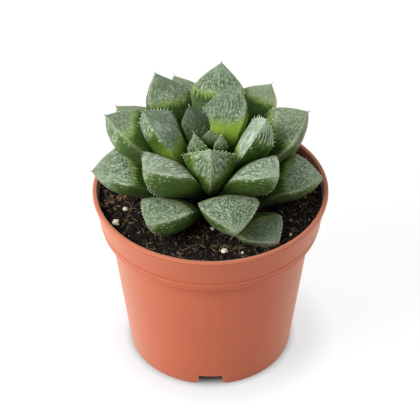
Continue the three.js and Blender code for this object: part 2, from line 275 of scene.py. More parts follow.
def pot_cutters():
    """The three notch blocks and the drain pegs, in one mesh."""
    verts, faces = [], []

    def add_block(outline, step, turn):
        """A closed block from an outline, drawn out by a step and turned about the pot's axis."""
        count = len(outline)
        c, s = math.cos(turn), math.sin(turn)
        ends = outline + [tuple(a + b for a, b in zip(point, step)) for point in outline]
        sides = [range(count), range(2 * count - 1, count - 1, -1)]
        sides += [((j + 1) % count, j, j + count, (j + 1) % count + count) for j in range(count)]
        add_form(verts, faces, [(x * c - y * s, x * s + y * c, z) for x, y, z in ends], sides)

    half = NOTCH_WIDTH / 2
    flare = half + NOTCH_FLARE
    clear = 4
    outline = [(-flare, -1), (flare, -1), (flare, 0), (half, NOTCH_FLARE_HEIGHT), (half, NOTCH_HEIGHT)]
    outline += [(-half, NOTCH_HEIGHT), (-half, NOTCH_FLARE_HEIGHT), (-flare, 0)]
    notch = [(x, -FOOT_RADIUS - clear, z) for x, z in outline]
    for turn in turns(NOTCH_COUNT):
        add_block(notch, (0, FOOT_RADIUS - FOOT_INNER_RADIUS + 2 * clear, 0), turn)
    peg_bottom = FLOOR_BOTTOM - clear / 2
    circle = [(DRAIN_RADIUS * math.cos(t), DRAIN_RADIUS * math.sin(t)) for t in turns(DRAIN_SIDES)]
    peg = [(DRAIN_CIRCLE + x, -y, peg_bottom) for x, y in circle]
    for turn in turns(DRAIN_COUNT):
        add_block(peg, (0, 0, POT_WALL + clear), turn + math.pi / DRAIN_COUNT)
    return mesh_in_mm("pot_cutters", verts, faces)


def moulded_plastic():
    material, place = start_material("terracotta_polypropylene")
    patches = grain(place, 38, 3)
    squeezed = add(material.node_tree, "ShaderNodeMapping", {"Vector": place, "Scale": (1, 1, 0.12)})
    flow = grain(squeezed, 420, 2)
    fine = grain(place, 2600, 2)
    scuffs = calc("MULTIPLY", ease(grain(place, 900, 4, 0.7), 0.62, 0.74), 0.2)
    height = add(material.node_tree, "ShaderNodeSeparateXYZ", {0: place}, 2)
    low, high = ((POT_HEIGHT - below) * MM for below in LIP_WEAR_AND_HIGHLIGHT_BELOW)
    colour = lay_over(
        blend(ease(patches, 0.3, 0.7), (166, 68, 30), (171, 72, 33)),
        (ease(flow, 0.35, 0.75, 0, 0.2), (160, 70, 38)),
        (scuffs, (204, 132, 104)),
        # the lip's paler top: partly rubbed wear, partly a painted highlight where the light falls on it
        (ease(height, low, high, 0, LIP_WEAR_AND_HIGHLIGHT), (184, 130, 104)),
    )
    marks = calc("MULTIPLY", calc("ADD", fine, flow), 0.5)
    return coat(material, {
        "Base Color": colour, "Roughness": ease(patches, 0.2, 0.8, 0.44, 0.54),
        "Normal": relief(0.25, 0.08, marks), "IOR": 1.49, "Specular IOR Level": 0.16,
        "Sheen Weight": 0.48, "Sheen Roughness": 0.5, "Sheen Tint": srgb(255, 230, 206),
    })


ledge = COLLAR_BOTTOM + POT_WALL
floor_top = FLOOR_BOTTOM + POT_WALL
pot_profile = round_corners([
    (0, FLOOR_BOTTOM, 0),
    (FOOT_INNER_RADIUS, FLOOR_BOTTOM, 0.4),
    (FOOT_INNER_RADIUS, 0, 0.3),
    (FOOT_RADIUS, 0, 0.7),
    (body_radius(ABOVE_NOTCH), ABOVE_NOTCH, 0),
    (BODY_TOP_RADIUS - 0.1, COLLAR_BOTTOM - 0.1, 0.5),
    (COLLAR_BOTTOM_RADIUS, COLLAR_BOTTOM, 0.4),
    (COLLAR_BOTTOM_RADIUS + BEAD_OUT, COLLAR_BOTTOM + BEAD_HEIGHT, 0.3),
    (collar_radius(COLLAR_BOTTOM + 2 * BEAD_HEIGHT), COLLAR_BOTTOM + 2 * BEAD_HEIGHT, 0.3),
    (collar_radius(FOLD_HEIGHT - 0.4), FOLD_HEIGHT - 0.4, 0.2),
    (collar_radius(FOLD_HEIGHT) + FOLD_OUT, FOLD_HEIGHT, 0.2),
    (collar_radius(FOLD_HEIGHT + 0.9), FOLD_HEIGHT + 0.9, 0.4),
    (collar_radius(LIP_BOTTOM), LIP_BOTTOM - 0.25, 0.2),
    (RIM_RADIUS, LIP_BOTTOM + 0.1, 0.2),
    (RIM_RADIUS, POT_HEIGHT, 0.65),
    (RIM_INNER_RADIUS, POT_HEIGHT, 0.6),
    (inside_radius(LIP_BOTTOM), LIP_BOTTOM - 0.8, 0.4),
    (inside_radius(ledge + 0.8), ledge + 0.8, 0.5),
    (inside_radius(ledge - 0.8), ledge - 0.8, 0.5),
    (inside_radius(floor_top), floor_top, 1.2),
    (0, floor_top, 0),
])
raw_pot = link(revolve("pot_shell", pot_profile, POT_SIDES), "raw_pot")
cutter = link(pot_cutters(), "pot_cutter")
cut = raw_pot.modifiers.new("notches", "BOOLEAN")
cut.object = cutter
cut.operation = "DIFFERENCE"
cut.solver = "EXACT"
soften = raw_pot.modifiers.new("soft_edges", "BEVEL")
soften.width = EDGE_ROUNDING * MM
soften.segments = 2
soften.limit_method = "ANGLE"
soften.angle_limit = math.radians(50)
pot_mesh = apply_modifiers(raw_pot)
bpy.data.objects.remove(cutter)
finish_piece("nursery_pot", pot_mesh, moulded_plastic(), ["pot"], 40)

# The soil is one filling of dark, damp peat. Its top is a low mound of crumbs with a rough edge a
# few millimetres under the rim, and it reaches down to the pot's floor.
SOIL_EDGE_HEIGHT = 69.3
SOIL_MOUND = 1.6
SOIL_BUMP = 0.45
SOIL_BANK = 1.1
BANK_WAY = 0.3
CLOD_HEIGHT = 0.85
CRUMB_HEIGHT = 0.5
SOIL_GAP = 0.32
SOIL_RINGS = 96
SOIL_SIDES = 300


def soil_height(x, y):
    """The height of the bare peat at a place, in millimetres."""
    radius = math.hypot(x, y)
    angle = math.atan2(y, x)
    share = min(1, radius / RIM_INNER_RADIUS)
    calm = min(1, 4 * (1 - share)) * share
    waves = math.sin(3 * angle + radius * 0.31) + math.sin(7 * angle - radius * 0.53)
    clods = noise.fractal(Vector((x, y, 0)) * 0.28, 0.8, 2.1, 4)
    crumbs = noise.fractal(Vector((x, y, 7)) * 1.3, 0.7, 2.2, 3)
    mound = SOIL_MOUND * (1 - share * share)
    bank = SOIL_BANK * (share * max(0, math.cos(angle - BANK_WAY))) ** 3
    rough = CLOD_HEIGHT * clods + CRUMB_HEIGHT * crumbs
    return SOIL_EDGE_HEIGHT + mound + bank + SOIL_BUMP * waves * calm + rough


def soil_mesh():
    """The peat bed, and its upper face alone as the ground that loose grains lie on."""
    edge = inside_radius(SOIL_EDGE_HEIGHT) - SOIL_GAP
    bottom = floor_top + SOIL_GAP
    ways = [(math.cos(t), math.sin(t)) for t in turns(SOIL_SIDES)]
    rings = []
    for i in range(1, SOIL_RINGS + 1):
        places = [(edge * i / SOIL_RINGS * c, edge * i / SOIL_RINGS * s) for c, s in ways]
        rings.append([(x, y, soil_height(x, y)) for x, y in places])
    walls = [(inside_radius(height) - SOIL_GAP, height) for height in (ledge + 1, ledge - 1, bottom + 2)]
    for radius, height in walls + [(inside_radius(bottom) - 1, bottom)]:
        rings.append([(radius * c, radius * s, height) for c, s in ways])
    verts, faces, _ = wrap(rings, (0, 0, soil_height(0, 0)), (0, 0, bottom))
    top = 1 + SOIL_SIDES * SOIL_RINGS
    ground = mesh_in_mm("ground", verts[:top], [face for face in faces if max(face) < top])
    return mesh_in_mm("peat_bed", verts, faces), ground


def damp_peat():
    material, place = start_material("damp_peat")
    clods = grain(place, 260, 5, 0.65)
    crumbs = grain(place, 1500, 4, 0.7)
    colour = lay_over(
        blend(ease(clods, 0.35, 0.7), (8, 7, 5), (24, 19, 12)),
        (ease(crumbs, 0.54, 0.74), (54, 40, 25)),
        (ease(grain(place, 3200, 2), 0.68, 0.76), (120, 98, 68)),
    )
    return coat(material, {
        "Base Color": colour, "Roughness": ease(clods, 0.3, 0.7, 0.7, 0.95),
        "Normal": relief(0.9, 0.4, crumbs), "Specular IOR Level": 0.12,
    })


bed_mesh, ground = soil_mesh()
finish_piece("peat_bed", bed_mesh, damp_peat(), ["soil"], 60)

# Loose crumbs of peat, chips of bark, bent fibres, a few twigs and small perlite grains lie all over
# the soil's top. Each kind is strewn by a tree that turns, sizes and roughens every grain by itself.
CRUMB_SIZE = 1.05
CRUMBS_PER_CM2 = 34
CHIP_SIZE = 1.6
CHIPS_PER_CM2 = 1.9
CHIP_HEAP = (-38.2, -3.8, 70.5)
HEAP_RADII = (2.5, 6.5)
HEAP_SHARE = 20
PERLITE_SIZE = 0.45
PERLITE_PER_CM2 = 0.5
FIBRE_LENGTH = 4.2
FIBRE_RADIUS = 0.07
FIBRES_PER_CM2 = 12
TWIG_LENGTH = 8
TWIG_RADIUS = 0.15
TWIGS_PER_CM2 = 0.25
FIBRE_EDGE = 40.5
TWIG_EDGE = 35.5
FIBRE_BEND = 4.2
FIBRE_LIFT = 0.3
GRAIN_ROUGHNESS = {"CRUMB": 0.55, "CHIP": 0.45}


def start_tree(name, **sizes):
    """A geometry tree that takes a mesh, named sizes and a seed; gives the tree and its inputs."""
    tree = bpy.data.node_groups.new(name, "GeometryNodeTree")
    for label, kind in {"Geometry": "Geometry", **sizes, "Seed": "Int"}.items():
        tree.interface.new_socket(label, in_out="INPUT", socket_type="NodeSocket" + kind)
    tree.interface.new_socket("Geometry", in_out="OUTPUT", socket_type="NodeSocketGeometry")
    return tree, tree.nodes.new("NodeGroupInput").outputs


def end_tree(tree, geometry, material):
    """Makes the copies real, gives them their material and ends the tree."""
    real = add(tree, "GeometryNodeRealizeInstances", {"Geometry": geometry})
    painted = add(tree, "GeometryNodeSetMaterial", {"Geometry": real, "Material": material})
    smooth = add(tree, "GeometryNodeSetShadeSmooth", {"Geometry": painted})
    add(tree, "NodeGroupOutput", {"Geometry": smooth})
    return tree


def grow(source, tree, **values):
    """Runs a geometry tree on a mesh with its named inputs set, and gives the plain mesh."""
    carrier = link(source, tree.name)
    modifier = carrier.modifiers.new(tree.name, "NODES")
    modifier.node_group = tree
    for item in tree.interface.items_tree:
        if item.name in values:
            modifier[item.identifier] = values[item.name]
    return apply_modifiers(carrier)


def uneven(tree, low, high, seed):
    """A random vector between two corners, a new one for every grain."""
    return add(tree, "FunctionNodeRandomValue", {0: low, 1: high, "Seed": seed}, data_type="FLOAT_VECTOR")


def roughen(tree, geometry, scale, amount):
    """Pushes points about by noise read at their own place, by up to half an amount in millimetres."""
    place = add(tree, "GeometryNodeInputPosition")
    wave = add(tree, "ShaderNodeTexNoise", {"Vector": place, "Scale": scale, "Detail": 2.0}, "Color")
    push = vector_calc("MULTIPLY", vector_calc("SUBTRACT", wave, (0.5,) * 3), (amount * MM,) * 3)
    return add(tree, "GeometryNodeSetPosition", {"Geometry": geometry, "Offset": push})


def scatter(tree, given, share):
    """Points all over the given ground, at its density times a share that changes with the place."""
    density = calc("MULTIPLY", share, given["Density"])
    inputs = {"Mesh": given["Geometry"], "Density": density, "Seed": given["Seed"]}
    return add(tree, "GeometryNodeDistributePointsOnFaces", inputs)


def copies(tree, points, shape, turn, scale):
    """A copy of a shape on every point, turned and sized."""
    inputs = {"Points": points, "Instance": shape, "Rotation": turn, "Scale": scale}
    return add(tree, "GeometryNodeInstanceOnPoints", inputs)


def strew_tree(name, shape, material, flatness):
    """Grains strewn over a ground: shape is CRUMB or CHIP, flatness their least height to width."""
    tree, given = start_tree(name, Size="Float", Density="Float", Heap="Vector")
    away = vector_calc("DISTANCE", add(tree, "GeometryNodeInputPosition"), given["Heap"], "Value")
    heaped = ease(away, HEAP_RADII[0] * MM, HEAP_RADII[1] * MM, HEAP_SHARE, 1)
    if shape == "CRUMB":
        form = add(tree, "GeometryNodeMeshIcoSphere", {"Radius": 0.5, "Subdivisions": 2})
    else:
        form = add(tree, "GeometryNodeMeshCube", {
            "Size": (1.0, 0.55, 0.5), "Vertices X": 4, "Vertices Y": 3, "Vertices Z": 2,
        })
    turn = uneven(tree, (-0.5, -0.5, 0), (0.5, 0.5, 6.28), given["Seed"])
    shares = uneven(tree, (0.5, 0.45, flatness), (1.5, 1.15, 1.0), calc("ADD", given["Seed"], 5))
    scale = vector_calc("MULTIPLY", shares, given["Size"])
    placed = copies(tree, scatter(tree, given, heaped), form, turn, scale)
    real = add(tree, "GeometryNodeRealizeInstances", {"Geometry": placed})
    return end_tree(tree, roughen(tree, real, 1400.0, GRAIN_ROUGHNESS[shape]), material)


def fibre_tree(name, material):
    """Thin bent strands that lie on the ground in all directions, thicker in some tufts."""
    tree, given = start_tree(name, Length="Float", Radius="Float", Density="Float", Edge="Float")
    place = add(tree, "GeometryNodeInputPosition")
    out = vector_calc("LENGTH", vector_calc("MULTIPLY", place, (1, 1, 0)), result="Value")
    tufts = ease(grain(place, 85, 1), 0.4, 0.62, 0.25, 1.9)
    allowed = calc("MULTIPLY", calc("LESS_THAN", out, given["Edge"]), tufts)
    line = add(tree, "GeometryNodeCurvePrimitiveLine", {"Start": (-0.5, 0, 0), "End": (0.5, 0, 0)})
    strand = add(tree, "GeometryNodeResampleCurve", {"Curve": line, "Count": 8})
    turn = uneven(tree, (-0.25, -0.3, 0), (0.25, 0.3, 6.28), given["Seed"])
    shares = uneven(tree, (0.25, 1, 1), (1.4, 1, 1), calc("ADD", given["Seed"], 3))
    scale = vector_calc("MULTIPLY", shares, given["Length"])
    placed = copies(tree, scatter(tree, given, allowed), strand, turn, scale)
    lifted = add(tree, "GeometryNodeTranslateInstances", {
        "Instances": placed, "Translation": (0, 0, FIBRE_LIFT * MM), "Local Space": False,
    })
    real = add(tree, "GeometryNodeRealizeInstances", {"Geometry": lifted})
    bent = roughen(tree, real, 260.0, FIBRE_BEND)
    section = add(tree, "GeometryNodeCurvePrimitiveCircle", {"Resolution": 4, "Radius": given["Radius"]})
    tube = add(tree, "GeometryNodeCurveToMesh", {"Curve": bent, "Profile Curve": section, "Fill Caps": True})
    return end_tree(tree, tube, material)


def dry_grain(name, dark, light, bump_depth):
    """A rough, matte material that changes from grain to grain."""
    material, place = start_material(name)
    patches = grain(place, 420, 2)
    fine = grain(place, 2800, 3, 0.65)
    shade = calc("ADD", ease(patches, 0.32, 0.68, 0, 0.75), ease(fine, 0.3, 0.7, 0, 0.25))
    return coat(material, {
        "Base Color": blend(shade, dark, light),
        "Normal": relief(0.8, bump_depth, fine), "Roughness": 0.9,
    })


def strew(piece, tree, skin, per_cm2, smooth_angle=None, **values):
    """Runs a tree on the ground and puts the grains that it makes in the scene."""
    grains = grow(ground, tree, Density=per_cm2 / (10 * MM) ** 2, **values)
    finish_piece(piece, grains, skin, smooth_angle=smooth_angle)


crumb_skin = dry_grain("peat_crumb", (8, 7, 4), (56, 40, 26), 0.25)
bark_skin = dry_grain("bark_chip", (36, 25, 18), (150, 112, 80), 0.2)
fibre_skin = dry_grain("dry_fibre", (44, 33, 18), (176, 152, 108), 0.1)
perlite_skin = dry_grain("perlite", (186, 172, 142), (240, 233, 212), 0.2)
crumb_tree = strew_tree("strew_crumbs", "CRUMB", crumb_skin, 0.5)
chip_tree = strew_tree("strew_chips", "CHIP", bark_skin, 0.25)
speck_tree = strew_tree("strew_perlite", "CRUMB", perlite_skin, 0.6)
strand_tree = fibre_tree("lay_fibres", fibre_skin)
heap = [c * MM for c in CHIP_HEAP]
strew("peat_crumbs", crumb_tree, crumb_skin, CRUMBS_PER_CM2, Size=CRUMB_SIZE * MM, Seed=3)
strew("bark_chips", chip_tree, bark_skin, CHIPS_PER_CM2, 40, Size=CHIP_SIZE * MM, Heap=heap, Seed=11)
strew(
    "peat_fibres", strand_tree, fibre_skin, FIBRES_PER_CM2,
    Length=FIBRE_LENGTH * MM, Radius=FIBRE_RADIUS * MM, Edge=FIBRE_EDGE * MM, Seed=5,
)
strew(
    "peat_twigs", strand_tree, bark_skin, TWIGS_PER_CM2,
    Length=TWIG_LENGTH * MM, Radius=TWIG_RADIUS * MM, Edge=TWIG_EDGE * MM, Seed=14,
)
strew("perlite_specks", speck_tree, perlite_skin, PERLITE_PER_CM2, Size=PERLITE_SIZE * MM, Seed=8)

# A few larger perlite grains: puffed volcanic glass, chalk white, rounded and full of small pits.
# They sit half sunk in the peat.
GRAIN_ROWS = 14
GRAIN_COLUMNS = 20
GRAIN_LUMPS = 0.5
GRAIN_PITS = 0.22
GRAIN_SQUAT = (1, 0.86, 0.8)
GRAIN_RISE = 0.32
PERLITE_GRAINS = (
    # x, y and width in millimetres
    (-35.4, -17.7, 3.0),
    (-32.2, -10.1, 1.8),
    (5.1, -34.9, 2.4),
    (0.7, -22.4, 1.6),
    (30.0, -25.0, 1.0),
    (11.8, -35.1, 1.0),
    (28.0, 26.0, 2.2),
    (-22.0, 31.0, 1.7),
    (38.5, 6.0, 1.3),
)


def perlite_grain_mesh():
    verts, faces = [], []
    for index, (x, y, width) in enumerate(PERLITE_GRAINS):
        centre = Vector((x, y, soil_height(x, y) + GRAIN_RISE * width))

        def on_grain(polar, turn):
            flat = math.sin(polar)
            way = Vector((flat * math.cos(turn), flat * math.sin(turn), math.cos(polar)))
            lump = 1 + GRAIN_LUMPS * noise.noise(way * 1.5 + Vector((index * 7.3, 0, 0)))
            pits = GRAIN_PITS * noise.noise(way * 4.5 + Vector((0, index * 5.1, 0)))
            return centre + way * Vector(GRAIN_SQUAT) * (width / 2 * (lump + pits))

        polars = [math.pi * i / GRAIN_ROWS for i in range(1, GRAIN_ROWS)]
        rings = [[on_grain(polar, turn) for turn in turns(GRAIN_COLUMNS)] for polar in polars]
        add_form(verts, faces, *wrap(rings, on_grain(0, 0), on_grain(math.pi, 0))[:2])
    return mesh_in_mm("perlite_grains", verts, faces)


finish_piece("perlite_grains", perlite_grain_mesh(), perlite_skin)

# The stem is the short, fleshy crown that every leaf grows from. It stands in the peat and shows
# only as a pale green depth between the innermost leaves.
STEM_RADIUS = 5.2
STEM_TOP = 84
STEM_BOTTOM = 57
STEM_SIDES = 64


def stem_skin():
    material, place = start_material("stem_skin")
    inputs = {"Vector": place, "Scale": 260.0, "Distortion": 3.0, "Detail": 2.0}
    rings = add(material.node_tree, "ShaderNodeTexWave", inputs, "Fac", bands_direction="Z")
    patches = grain(place, 300, 3)
    colour = blend(ease(patches, 0.3, 0.7), (96, 116, 56), (132, 146, 86))
    return coat(material, {
        "Base Color": lay_over(colour, (ease(rings, 0.6, 0.95, 0, 0.6), (116, 92, 58))),
        "Normal": relief(0.6, 0.3, rings), "Roughness": 0.55,
    })


stem_profile = round_corners([
    (0, STEM_BOTTOM, 0),
    (STEM_RADIUS * 0.7, STEM_BOTTOM, 1),
    (STEM_RADIUS, STEM_BOTTOM + 6, 2),
    (STEM_RADIUS, STEM_TOP - 6, 2),
    (STEM_RADIUS * 0.75, STEM_TOP - 2, 1),
    (STEM_RADIUS * 0.4, STEM_TOP, 0.8),
    (0, STEM_TOP, 0),
])
stem_mesh = revolve("crown_stem", stem_profile, STEM_SIDES)
finish_piece("crown_stem", stem_mesh, stem_skin(), ["stem"])

# The leaves are thick and fleshy: a blunt triangular end with a flat, see-through window on top and
# a keel below, on a narrower part that bends down to the stem. Each is grown from the same rule as
# its solid, from the tip to the seat, with its own place, size, tilt and look.
SHOULDER_BACK = 1.08
KEEL_DEPTH = 1.12
KEEL_BACK = 0.92
NOSE_HEADING = (0.5, 1.5)
NOSE_ARC = 66
HEART_HALF = 6
HEART_ARC = 24
GROWN_HALF = 8
BELLY_HEADING = (1.3, 0.62)
BEND_REACH = 0.9
BEND_TURN = 0.2
BASE_WIDTH = 0.34
BASE_TAPER = 1.5
BASE_THICKNESS = 0.3
BASE_MARGIN_SINK = 0.4
SEAT_DEPTH = 2
WINDOW_BULGE = 0.12
# A leaf pinched between its neighbours, by its place in LEAVES, has a ridge down its window.
CREASED = {6: 0.26, 11: 0.06}
FLANK_BULGE = 0.13
SKIN_SWELL = 0.2
LUMP_HEIGHT = 0.3
LUMPS_PER_MM = 0.22
DIMPLE_HEIGHT = 0.07
DIMPLES_PER_MM = 0.9
END_ROWS = 52
END_CROWDING = 1.25
STALK_ROWS = 36
FLANK_COLUMNS = 18
FACE_COLUMNS = 34
FACE_VEINS = 7
FLANK_VEINS = 6
WINDOW_BOW = {"face": 0.15, "flank": 0.5}

LEAVES = (
    # azimuth, reach and rise of the tip, tilt, half width, twist, seat height
    (85, 1.5, 99.5, 82, 3.2, 0, 84),
    (-16, 4, 99, 66, 3.8, 0, 83),
    (-150, 6.5, 101, 64, 5.2, 5, 82),
    (117, 17.5, 100.5, 28, 7, 19, 80),
    (-90, 18.5, 105.5, 49, 9.8, 0, 71),
    (-9, 21, 108, 51, 8.7, 3, 75),
    (69, 25, 105, 23, 10, -22, 74),
    (173, 25.5, 107, 36, 10.6, 3, 70),
    (-44, 34.6, 97.7, 10, 10, 0, 71),
    (-135, 34.4, 100.2, 16, 11.2, 1, 71),
    (16, 38.4, 101.5, 26, 10.6, 8, 70),
    (83, 35, 107, 43, 10.2, 9, 74),
    (126, 36, 106, 31, 10.5, 14, 73),
    (174, 39.5, 104.5, 23, 11.2, 3, 68),
    (54, 40, 98.5, 11, 8, 4, 70),
    (111, 39, 99.5, 17, 9, -5, 70),
    (-76, 41.5, 84, -18, 11.2, -5, 65),
    (-124, 41.5, 82.5, -6, 10.7, 8, 65),
    (-8, 43, 82.5, -5, 10.7, 6, 62),
    (-168, 45.4, 88.6, -2, 11, -4, 65),
    (146, 43.6, 93.8, 17, 9.8, 0, 67),
    (33, 42.5, 85, 2, 10.4, 0, 66),
    (72, 43, 86, 5, 10.6, 0, 66),
    (107, 42.5, 83, 0, 10, 0, 65),
    (-52, 41, 72.5, -6, 9.3, 6, 62),
)
LOOKS = (
    # pale (below zero it paints the leaf darker, a painted shade), warm, glowing (a painted light), toothed,
    # window on the face and on the flanks, netted, slitted
    (-0.45, 0, 0, 1.1, 1.5, 1.2, 0.2, 0.75),
    (-0.45, 0, 0, 1.1, 1.5, 1.2, 0.2, 0.75),
    (-0.45, 0, 0, 1.1, 1.5, 1.2, 0.2, 0.75),
    (-0.9, 0, 0, 0.3, 2, 1.5, 0.2, 0.1),
    (0, 0, 0.25, 0.9, 1.15, 1.02, 0.6, 0.35),
    (1.7, 0, 0, 1, 2, 0.95, 0.3, 1.0),
    (-0.4, 0, 1, 0.4, 1.85, 0.8, 0.6, 0.2),
    (0.1, 0, 0.65, 0.85, 1.8, 0.95, 0.35, 0.5),
    (0.6, 0.1, 0, 0.4, 1.9, 0.25, 0.8, 0.3),
    (1.1, 0.15, 0.15, 0.6, 1.95, 0.2, 0.45, 0.4),
    (-0.25, 0.5, 0, 0.5, 1.4, 0.8, 0.7, 0.2),
    (0.1, 0.2, 0, 0.25, 1.3, 0.8, 0.8, 0.5),
    (-0.1, 0.3, 0, 0.7, 1.35, 0.8, 0.5, 0.1),
    (-0.1, 0.25, 0, 0.35, 0.95, 0.95, 0.5, 0.1),
    (0.2, 0.8, 0, 0.1, 1.25, 0.8, 0.5, 0.1),
    (0.1, 0.8, 0, 0.1, 1.4, 0.8, 0.3, 0.1),
    (-0.15, 0.2, 0, 0.3, 1.9, 0.35, 1, 0.3),
    (-0.2, 0.15, 0, 0.4, 1.6, 0.25, 0.9, 0.3),
    (0.05, 0.25, 0, 0.5, 1.4, 0.35, 1, 0.1),
    (0.3, 0.1, 0, 0.3, 1.45, 0.9, 0.8, 0.1),
    (0.3, 0.8, 0, 0.1, 1.4, 0.8, 0.3, 0.1),
    (0, 0.3, 0, 0.4, 1.4, 0.6, 0.6, 0.1),
    (0, 0.3, 0, 0.4, 1.4, 0.6, 0.6, 0.1),
    (0, 0.3, 0, 0.4, 1.4, 0.6, 0.6, 0.1),
    (-0.3, 0.4, 0, 0.4, 1.5, 0.8, 0.4, 0.1),
)


def leaf_axes(leaf):
    """The tip and the leaf's own axes: back along the window, sideways, and down to the keel."""
    azimuth, reach, rise, tilt, half, twist, seat_height = leaf
    azimuth, tilt, twist = (math.radians(angle) for angle in (azimuth, tilt, twist))
    radial = np.array((math.cos(azimuth), math.sin(azimuth), 0))
    level = np.array((-math.sin(azimuth), math.cos(azimuth), 0))
    upward = np.array((0, 0, 1))
    out = radial * math.cos(tilt) + upward * math.sin(tilt)
    face = -radial * math.sin(tilt) + upward * math.cos(tilt)
    side = level * math.cos(twist) + face * math.sin(twist)
    up = face * math.cos(twist) - level * math.sin(twist)
    tip = radial * reach + upward * rise
    seat = radial * min(STEM_RADIUS - SEAT_DEPTH, reach / 2) + upward * seat_height
    axes = np.array((-out, side, -up))
    return tip, axes, axes @ (seat - tip)


def hermite(start, end, leaving, arriving, s):
    """A point on a curve between two points that leaves and arrives in given ways."""
    start, end, leaving, arriving = (np.array(v, float) for v in (start, end, leaving, arriving))
    return (
        start * (2 * s**3 - 3 * s**2 + 1) + leaving * (s**3 - 2 * s**2 + s)
        + end * (-2 * s**3 + 3 * s**2) + arriving * (s**3 - s**2)
    )


def blend_ways(first, second, share):
    """A direction between two others."""
    way = np.array(first) * (1 - share) + np.array(second) * share
    return way / np.linalg.norm(way)


def leaf_section(half, to_seat, distal, s):
    """One section of a leaf, on its blunt end or on its stalk, s being 0 to 1 down that stretch.

    Gives the ridge and the keel as (back, down), half the width, the sideways shift, how far the
    margins sink towards the keel, and the distance from the tip."""
    shoulder = np.array((SHOULDER_BACK * half, 0))
    belly = np.array((KEEL_BACK * half, KEEL_DEPTH * half))
    if distal:
        keel = hermite((0, 0), belly, np.array(NOSE_HEADING) * half, np.array(BELLY_HEADING) * half, s)
        arc = math.radians(HEART_ARC if half < HEART_HALF else NOSE_ARC)
        width = half * math.sin(arc * s) / math.sin(arc)
        return shoulder * s, keel, width, 0, 0, SHOULDER_BACK * half * s
    seat = to_seat[[0, 2]]
    run = np.linalg.norm(seat - shoulder)
    inward = (seat - shoulder) / run
    seat_under = seat + np.array((-inward[1], inward[0])) * BASE_THICKNESS * half
    level = blend_ways((1, 0), inward, BEND_TURN)
    below = blend_ways(np.array(BELLY_HEADING) / np.linalg.norm(BELLY_HEADING), inward, BEND_TURN)
    return (
        hermite(shoulder, seat, level * BEND_REACH * run, inward * run, s),
        hermite(belly, seat_under, below * run, inward * run, s),
        half * (1 - (1 - BASE_WIDTH) * s**BASE_TAPER),
        to_seat[1] * s * s * (3 - 2 * s),
        BASE_MARGIN_SINK * s,
        SHOULDER_BACK * half + run * s,
    )


def crowded(count):
    """Steps from 0 to 1 that crowd together at both ends."""
    return [0.5 - 0.5 * math.cos(math.pi * i / count) for i in range(count + 1)]


flank_steps = crowded(FLANK_COLUMNS)
face_steps = [2 * t - 1 for t in crowded(FACE_COLUMNS)][::-1]


def leaf_grid(leaf, crease):
    """Points of the leaf in rows from tip to seat, with each row's distance, width and depth."""
    half = leaf[4]
    tip, axes, to_seat = leaf_axes(leaf)
    rows = [(True, (i / END_ROWS) ** END_CROWDING) for i in range(1, END_ROWS + 1)]
    rows += [(False, i / STALK_ROWS) for i in range(1, STALK_ROWS + 1)]
    points, facts = [], []
    for distal, s in rows:
        ridge, keel, width, shift, sink, distance = leaf_section(half, to_seat, distal, s)
        depth = keel - ridge
        margin = ridge + depth * sink
        row = []
        for t in flank_steps[:-1]:
            bulge = 4 * t * (1 - t) * FLANK_BULGE
            back, down = keel + (margin - keel) * t + depth * bulge
            row.append((back, width * (t + bulge), down))
        for t in face_steps:
            back, down = ridge + (margin - ridge) * t * t
            swell = (WINDOW_BULGE - 0.5 * crease) * (1 - t * t) + crease * (1 - abs(t))
            row.append((back, width * t, down - swell * width))
        row += [(back, -side, down) for back, side, down in row[FLANK_COLUMNS - 1:0:-1]]
        points.append([(back, side + shift, down) for back, side, down in row])
        facts.append((distance, width, np.linalg.norm(depth)))
    return np.array(points), np.array(facts).T, tip, axes


def soften_edges(points):
    """Rounds the margins and the keel by drawing each ring's points towards their neighbours."""
    for _ in range(3):
        points = 0.5 * points + 0.25 * (np.roll(points, 1, 1) + np.roll(points, -1, 1))
    return points


def column_shares():
    """Each column's vein number, its share from keel or middle to margin, and if it is on top."""
    flank, back = flank_steps[:-1], flank_steps[-2::-1]
    veins = [FACE_VEINS + FLANK_VEINS * (1 - t) for t in flank]
    veins += [FACE_VEINS * t for t in face_steps]
    veins += [-FACE_VEINS - FLANK_VEINS * (1 - t) for t in back]
    shares = flank + [abs(t) for t in face_steps] + back
    on_face = [False] * FLANK_COLUMNS + [True] * len(face_steps) + [False] * FLANK_COLUMNS
    return np.array(veins), np.array(shares), np.array(on_face)


